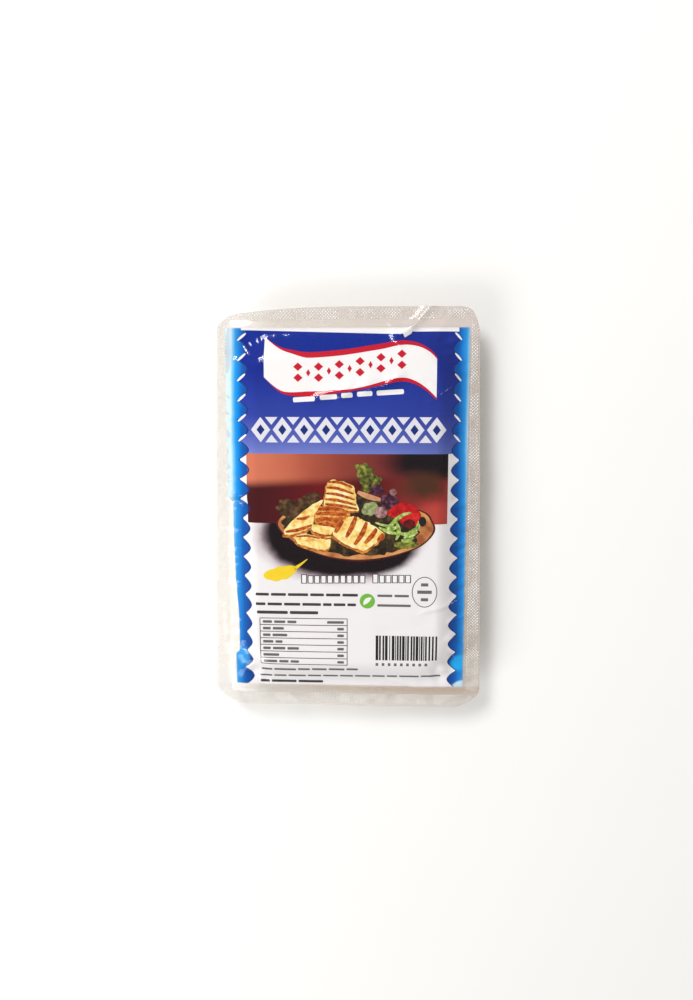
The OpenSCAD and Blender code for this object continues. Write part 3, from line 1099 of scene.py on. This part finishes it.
# grilled slices, from the back: how many lie under each, its outline and the grill's stripes across it, how
# wide those are, and how thick its cut side looks
slices = {
    "back": {
        "under": 0,
        "outline": ((-8.2, 13.8), (-4.6, 14.4), (2.1, 11.8), (3.4, 5.6), (4.4, 1.6), (0, 1.4), (-6, 2.2),
                    (-10.0, 3.2), (-9.3, 8.2)),
        "stripes": (((-8.0, 13.4), (-3.5, 13.3), (1.6, 11.2)), ((-8.8, 11.1), (-4.5, 10.8), (2.2, 8.6)),
                    ((-9.2, 8.7), (-4.5, 8.3), (2.6, 6.2)), ((-9.5, 6.3), (-4.5, 5.9), (3.2, 3.9)),
                    ((-9.6, 4.3), (-4, 3.7), (3.6, 2.3))),
        "wide": 1.15,
        "thick": 0.5,
    },
    "middle": {
        "under": 1,
        "outline": ((-14.3, -0.6), (-11.8, 3.4), (-2.6, 2.6), (1.0, -0.1), (-3.2, -4.0), (-6.2, -7.4),
                    (-11.8, -4.8)),
        "stripes": (((-12.6, 2.0), (-8, 2.3), (-2, 1.9)), ((-13.4, 0.0), (-8, 0.4), (-0.6, -0.2)),
                    ((-13.2, -2.2), (-9, -1.9), (-3.2, -2.5)), ((-12.4, -4.2), (-9, -4.2), (-4.6, -5.0))),
        "wide": 1.5,
        "thick": 0.5,
    },
    "left": {
        "under": 2,
        "outline": ((-10.5, 6), (-14.8, 4.1), (-20.9, -0.6), (-26.6, -6.6), (-25.8, -9), (-18.9, -7.4),
                    (-14.8, -4.8), (-14, -0.6), (-12, 3)),
        "stripes": (((-26.2, -7.6), (-20.5, -6.6), (-15.2, -4.6)),
                    ((-21.5, -2.0), (-18.5, -1.9), (-16, -0.8))),
        "wide": 1.4,
        "thick": 0.8,
    },
    "low": {
        "under": 2,
        "outline": ((-14.8, -4.3), (-10.2, -4.8), (-5.6, -5.9), (-6.7, -9.5), (-10.7, -9.5), (-14.8, -7.4)),
        "stripes": (((-14.2, -7.6), (-11, -8.9), (-7, -9.0)),),
        "wide": 0.9,
        "thick": 0.6,
    },
    "foot": {
        "under": 1,
        "outline": ((-22.8, -9.5), (-18.9, -8), (-12.8, -9.3), (-7.7, -9.8), (-8.2, -14.5), (-12.8, -15),
                    (-18.9, -13.4), (-21.4, -12.1)),
        "stripes": (((-21.6, -9.6), (-17, -9.2), (-12, -10.2)),),
        "wide": 0.9,
        "thick": 0.8,
    },
    "front": {
        "under": 3,
        "outline": ((2, -0.6), (5.6, -1.7), (10.6, -4.6), (15.2, -8), (13.7, -10.3), (10.7, -12.7),
                    (6.3, -15.4), (0, -13.0), (-6.5, -8.7), (-4.4, -4.3), (-0.6, -1.4)),
        "stripes": (((3.2, -0.9), (1.6, -5), (-0.9, -9.8)), ((7.6, -3.2), (5.8, -8), (2.6, -12.8)),
                    ((11.7, -5.8), (10.0, -8.6), (6.9, -12.2)), ((-2.2, -2.6), (-3.8, -4.8), (-5.4, -7.8)),
                    ((14.8, -8.0), (13.6, -9.6), (12.2, -11.2))),
        "wide": 2.1,
        "thick": 0.9,
    },
}


def makeSlices(firstLevel):
    body = foodInk("ink_grilled_cheese", 2.4, (214, 146, 58), (240, 206, 116), (248, 230, 156),
                   (253, 246, 204))
    baked = foodInk("ink_baked_cheese", 1.9, (140, 62, 20), (214, 126, 52), (246, 206, 116))
    crust = foodInk("ink_cheese_crust", 1.6, (122, 54, 16), (190, 108, 38), (222, 162, 76))
    cut = foodInk("ink_cheese_cut", 2, (206, 170, 98), (240, 220, 150), (250, 240, 192))
    char = foodInk("ink_grill_marks", 1.2, (124, 40, 8), (178, 76, 18), (212, 122, 46))
    marks = []
    for name, part in slices.items():
        at = firstLevel + 2 * part["under"]
        lower = [(u - 0.3, v - part["thick"]) for u, v in part["outline"]]
        side = crust if part["thick"] < 1 else cut
        face = baked if name == "middle" else body
        drape(f"slice_{name}_crust", blob(lower, 0.2, shake=0.6), at, side)
        drape(f"slice_{name}", blob(part["outline"], -0.15, shake=0.7), at + 1, face)
        for stripe in part["stripes"]:
            marks += ribbon(stripe, swelling(0.5 * part["wide"], part["wide"]), 8)
    drape("grill_marks", marks, firstLevel + 8, char)


# each food's level among the inks, the size of its mottles, and its tones from the darkest
foods = {
    "plate_outside": (1, 6, (40, 8, 14), (92, 30, 22)),
    "plate_rim": (2, 7, (150, 84, 46), (204, 136, 78), (226, 164, 100)),
    "salad_bed": (3, 2.6, (22, 12, 10), (50, 36, 20), (92, 74, 38)),
    "dark_leaves": (4, 2, (34, 22, 12), (76, 52, 28), (116, 84, 50)),
    "herbs": (4, 1.7, (34, 44, 18), (92, 98, 36), (168, 166, 70)),
    "peach_stalk": (5, 3, (180, 116, 78), (226, 176, 134)),
    "red_onion": (6, 1.8, (28, 8, 22), (66, 26, 48), (120, 74, 92)),
    "pale_leaf": (5, 1.8, (84, 92, 54), (140, 152, 96), (188, 192, 150)),
    "mauve_buds": (7, 1.6, (88, 52, 56), (150, 108, 108), (192, 156, 150)),
    "tomato": (7, 2.6, (130, 6, 12), (190, 14, 22), (222, 50, 40)),
    "tomato_hollow": (8, 1.6, (56, 4, 8), (120, 20, 16)),
    "lettuce": (10, 1.3, (92, 128, 44), (158, 186, 84), (222, 228, 168)),
}
plateRim = ((-29.3, -2.7), (-26.5, -9), (-17.9, -14.7), (-7.7, -18.2), (2.5, -19.4), (12.7, -18.7),
            (22.9, -16), (30.5, -12.6), (35.2, -7.2), (34.4, -2.8), (30, 1.5), (12, 6), (-6, 6), (-20, 3.5))
saladBed = ((-27.4, -3), (-24.4, -8), (-17.2, -12.8), (-7.6, -16.2), (2.5, -17.2), (12.7, -16.8),
            (21, -14.9), (27.2, -12), (29, -7.2), (28, -2), (22, 4.4), (11, 7.5), (-6, 6.5), (-19, 4))
tomatoHalf = ((15.8, 0.4), (19.3, 4), (23.4, 5.1), (28, 3), (30, -0.6), (28, -4.3), (24.4, -5.3),
              (21, -2.7), (17.8, -0.8))
tomatoHollow = ((22.6, -3.4), (25, -1.9), (27.6, -3.0), (26.8, -5.2), (24.2, -5.6))
lettuceStrands = (
    ((11.2, -3.3), (16.8, -4.8), (19.8, -2), (22.9, 0.1), (26.0, 0.9)),
    ((12.7, -5.3), (16.8, -7.2), (20.4, -8.0)),
    ((19.8, -2.7), (20.9, -6.9), (19.8, -10.6)),
    ((20.8, -7.4), (24.4, -8.2), (29, -4.8)),
    ((22.9, -9.8), (25.9, -8.7), (28.6, -7.2)),
    ((15.0, -4.3), (17.8, -5.9), (20.6, -4.8)),
    ((22, -10.6), (24.6, -11), (27, -9.6)),
    ((29.2, -2.6), (28.6, -5.4), (26.6, -7.4)),
)


def serve(name, outlines):
    level, size, *tones = foods[name]
    drape(name, outlines, level, foodInk("ink_" + name, size, *tones))


def makePicture():
    # the serving picture: a terracotta plate with grilled slices, tomato, onion and leaves
    drape("picture_ground", box(-42.2, -4.0, 40.9, 25.0), 0, shaded("ink_ground", pictureGround))
    serve("plate_outside", blob(plateRim, 0.5))
    serve("plate_rim", blob(plateRim, -0.3))
    serve("salad_bed", blob(saladBed, 0, shake=1.6))
    leaves = leafy(-24.6, 2.2, 5.2, 3.8, 9, 0.16, 2, -20) + leafy(-16.5, 6.0, 5.6, 2.2, 9, 0.2, 3, 25)
    serve("dark_leaves", leaves)
    herbs = leafy(7.0, 16.8, 3.4, 5.0, 7, 0.26, 1, 30) + leafy(11.0, 13.6, 3.0, 2.0, 5, 0.22, 4, 50)
    herbs += leafy(24.0, -12.6, 5.0, 1.7, 6, 0.12, 3, 4) + leafy(7.6, 11.8, 2.2, 2.6, 5, 0.2, 2)
    serve("herbs", herbs)
    serve("peach_stalk", ribbon([(3.8, 9.4), (8.0, 7.6), (13.4, 6.2)], swelling(1.2, 2.2)))
    serve("red_onion", leafy(11.8, 10.2, 2.9, 2.2, 4, 0.08, 2) + leafy(16.8, 5.6, 3.6, 3.3, 5, 0.1, 1))
    serve("pale_leaf", leafy(9.1, 2.4, 3.7, 2.7, 5, 0.12, 4, 20))
    serve("mauve_buds", oval(13.4, 0.9, 2.6, 2.4, 0, 20) + oval(18.4, 9.4, 1.5, 1.5, 0, 16))
    serve("tomato", blob(tomatoHalf))
    serve("tomato_hollow", blob(tomatoHollow))
    strands = []
    for path in lettuceStrands:
        strands += ribbon(path, swelling(0.5, 1.7))
    serve("lettuce", strands)
    drape("olive", oval(30.6, -2.8, 1.5, 2.0, 0, 20), 11, inks["black"])
    makeSlices(4)


yellowLeaf = {"at": (-28.6, -25.4), "half": (7.2, 2.9), "turn": 14}
originBlocks = {
    "count": 17,
    "gapAt": 10,           # no block there
    "tallAt": (0, 11),     # these two are taller
    "left": -18.6,
    "pitch": 2.72,
    "foot": -29.4,
    "rise": 0.045,         # how much higher each stands than the one before
    "half": 0.85,
    "tall": 2.9,
    "taller": 0.5,
    "edgeSide": 0.4,       # the dark edge round each
    "edgeEnd": 0.3,
}
# lines of print: left end, right end, foot, height, number of words and slant
boldLines = ((-39.3, 4.0, -35.1, 1.15, 6), (-39.3, 3.2, -39.3, 1.15, 7), (-38.8, -12.8, -43.0, 1.3, 2),
             (-38.4, -11.2, -75.0, 1.15, 3))
fineLines = ((12.2, 25.4, -35.1, 1.0, 2), (12.2, 26.2, -39.3, 1.0, 1), (-37.6, 4.0, -68.7, 0.95, 6, 0.02),
             (-38.6, 39.4, -72.0, 0.8, 11, 0.012))
ovalMark = {
    "at": (31.9, -32.8),
    "half": (5.3, 6.6),
    "line": 0.35,
    "bars": ((1.5, -30.3, -29.0), (3.0, -33.5, -32.1), (1.5, -36.7, -35.4)),  # half width, foot and head
}


def makeYellowLeaf():
    leafU, leafV = yellowLeaf["half"]

    def radius(t):
        return 1 / math.hypot(math.cos(t) / leafU, math.sin(t) / leafV) * (1 + 0.08 * math.sin(5 * t))

    leaf = turned(star(*yellowLeaf["at"], radius, 48), yellowLeaf["at"], yellowLeaf["turn"])
    leaf += ribbon([(-23, -23.6), (-20.2, -21.6), (-17.2, -19.2)], lambda t: 1.7 - 1.4 * t)
    drape("yellow_leaf", leaf, 1, inks["yellow"])


def makeOriginBlocks():
    # plain blocks in place of a line of large letters
    f = originBlocks
    blocks = []
    outline = []
    wide = f["half"] + f["edgeSide"]
    for i in range(f["count"]):
        u = f["left"] + f["pitch"] * i
        if i != f["gapAt"]:
            v = f["foot"] + f["rise"] * i
            tall = f["tall"] + f["taller"] * (i in f["tallAt"])
            outline += box(u - wide, v - f["edgeEnd"], u + wide, v + tall + f["edgeEnd"])
            blocks += box(u - f["half"], v, u + f["half"], v + tall)
    drape("origin_blocks_outline", outline, 1, inks["darkGrey"])
    drape("origin_blocks", blocks, 2, inks["white"])


def makeMarks():
    # a green disc with a leaf, and an oval with three bars
    drape("green_disc", oval(8.0, -37.0, 3.2, 3.2), 1, inks["green"])
    leaf = ribbon([(6.4, -38.6), (7.8, -36.8), (9.7, -35.5)], swelling(0.1, 2.0))
    drape("green_disc_leaf", leaf, 2, inks["white"])
    drape("oval_ring", ring(*ovalMark["at"], *ovalMark["half"], ovalMark["line"]), 1, inks["grey"])
    middle = ovalMark["at"][0]
    bars = []
    for half, foot, head in ovalMark["bars"]:
        bars += box(middle - half, foot, middle + half, head)
    drape("oval_ring_bars", bars, 1, inks["grey"])


def makeSmallPrint():
    makeYellowLeaf()
    makeOriginBlocks()
    for name, lines, colour in (("bold_lines", boldLines, "darkGrey"), ("fine_lines", fineLines, "grey")):
        bars = []
        for line in lines:
            bars += wordBars(*line)
        drape(name, bars, 1, inks[colour])
    makeMarks()
    makeTable()
    makeStripes()


factTable = {
    "left": -37.6,
    "right": -0.5,
    "head": -44.9,
    "foot": -65.4,
    "rows": 7,
    "line": 0.28,          # width of its rules
    "print": 1.1,          # height of its bars
}


def makeTable():
    # a ruled table, with bars of random lengths in place of its entries
    left, right = factTable["left"], factTable["right"]
    half = factTable["line"] / 2
    height = (factTable["head"] - factTable["foot"]) / factTable["rows"]
    rules = []
    for i in range(factTable["rows"] + 1):
        v = factTable["head"] - height * i
        rules += box(left, v - half, right, v + half)
    for u in (left, right):
        rules += box(u - half, factTable["foot"], u + half, factTable["head"])
    drape("table_rules", rules, 1, inks["black"])
    entries = []
    for i in range(factTable["rows"]):
        v = factTable["foot"] + height * i + 0.8
        length = dice.uniform(6, 17)
        figure = 8.5 if i == factTable["rows"] - 1 else 4.2
        entries += wordBars(left + 1.2, left + 1.2 + length, v, factTable["print"], 1 + int(length / 7))
        entries += wordBars(right - figure, right - 1.4, v, factTable["print"], 1)
    drape("table_entries", entries, 1, inks["grey"])


stripeField = {"left": 11.6, "right": 38.4, "head": -52.0, "foot": -62.8, "module": 0.36, "ticks": 9}


def makeStripes():
    # bars of random widths, which stand for no number
    f = stripeField
    bars = []
    at = f["left"]
    while at < f["right"] - 1.2:
        wide = f["module"] * dice.choice((1, 2, 2, 3))
        bars += box(at, f["foot"], min(at + wide, f["right"]), f["head"])
        at += wide + f["module"] * dice.choice((1, 1, 1, 2))
    drape("stripe_field", bars, 1, inks["black"])
    ticks = []
    for i in range(f["ticks"]):
        u = f["left"] + 2.6 * i
        ticks += box(u, f["foot"] - 2.6, u + 1.1, f["foot"] - 1.3)
    drape("stripe_ticks", ticks, 1, inks["grey"])


dice = random.Random(11)
ink = []

print("film pack")
filmPack, filmGrid = makeFilmPack()
print("weld knurl")
weldKnurl = makeKnurl(filmGrid, pressedDots())
print("cheese")
cheese = makeCheese()
print("label")
label, labelGrid = makeLabel()
print("print on the label")
makeFields()
makeBanner()
makeHeadline()
makePicture()
makeSmallPrint()

for piece, slot in ((filmPack, "film"), (weldKnurl, "film"), (cheese, "cheese")):
    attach(piece, "root")
    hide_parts("sealed_pack")
for piece in [label] + ink:
    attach(piece, "root")
    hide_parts("label")

print("stage")
stage = {
    "floor": 3.0,          # side of the floor, in metres
    "camera": (15.6, 52.2, 337.9),  # from the label's middle and the floor, in millimetres
    "turn": (-8.25, 2.94, 0.0),
    "lens": 28.1,
    "world": 0.41,
    "lights": {            # place and side in metres, and power
        "key": ((-0.50, 0.82, 1.03), 0.45, 13.5),
        "side": ((-0.80, -0.78, 0.80), 0.7, 8.5),
    },
}


def floorLook():
    s = Shader("pale_floor")
    pale = tone(247, 246, 244)
    body = s.mix(s.noise(60, 4), scaled(pale, 0.99), pale)
    return s.coat(body, 0.8, 0.2, s.bump(s.noise(7.5, 3), 0.1, 0.1))


def areaLight(name, at, side, power):
    lamp = bpy.data.lights.new(name, "AREA")
    lamp.size = side
    lamp.energy = power
    piece = inScene(name, lamp)
    piece.location = at
    piece.rotation_euler = Vector(at).to_track_quat("Z", "Y").to_euler()


def makeStage():
    half = stage["floor"] / 2
    corners = [(-half, -half, 0), (half, -half, 0), (half, half, 0), (-half, half, 0)]
    mesh = bpy.data.meshes.new("floor")
    mesh.from_pydata(corners, [], [(0, 1, 2, 3)])
    mesh.materials.append(floorLook())
    inScene("floor", mesh)
    world = bpy.data.worlds.new("studio")
    world.use_nodes = True
    sky = world.node_tree.nodes["Background"].inputs
    sky["Color"].default_value = (1.0, 0.99, 0.975, 1)
    sky["Strength"].default_value = stage["world"]
    bpy.context.scene.world = world
    for name, (at, side, power) in stage["lights"].items():
        areaLight(name, at, side, power)
    lens = bpy.data.cameras.new("camera")
    lens.lens = stage["lens"]
    lens.clip_start = 0.01
    camera = inScene("camera", lens)
    away = stage["camera"]
    camera.location = ((labelMid[0] + away[0]) * mm, (labelMid[1] + away[1]) * mm, away[2] * mm)
    camera.rotation_euler = [math.radians(a) for a in stage["turn"]]
    bpy.context.scene.camera = camera
    bpy.context.scene.view_settings.view_transform = "Standard"


makeStage()
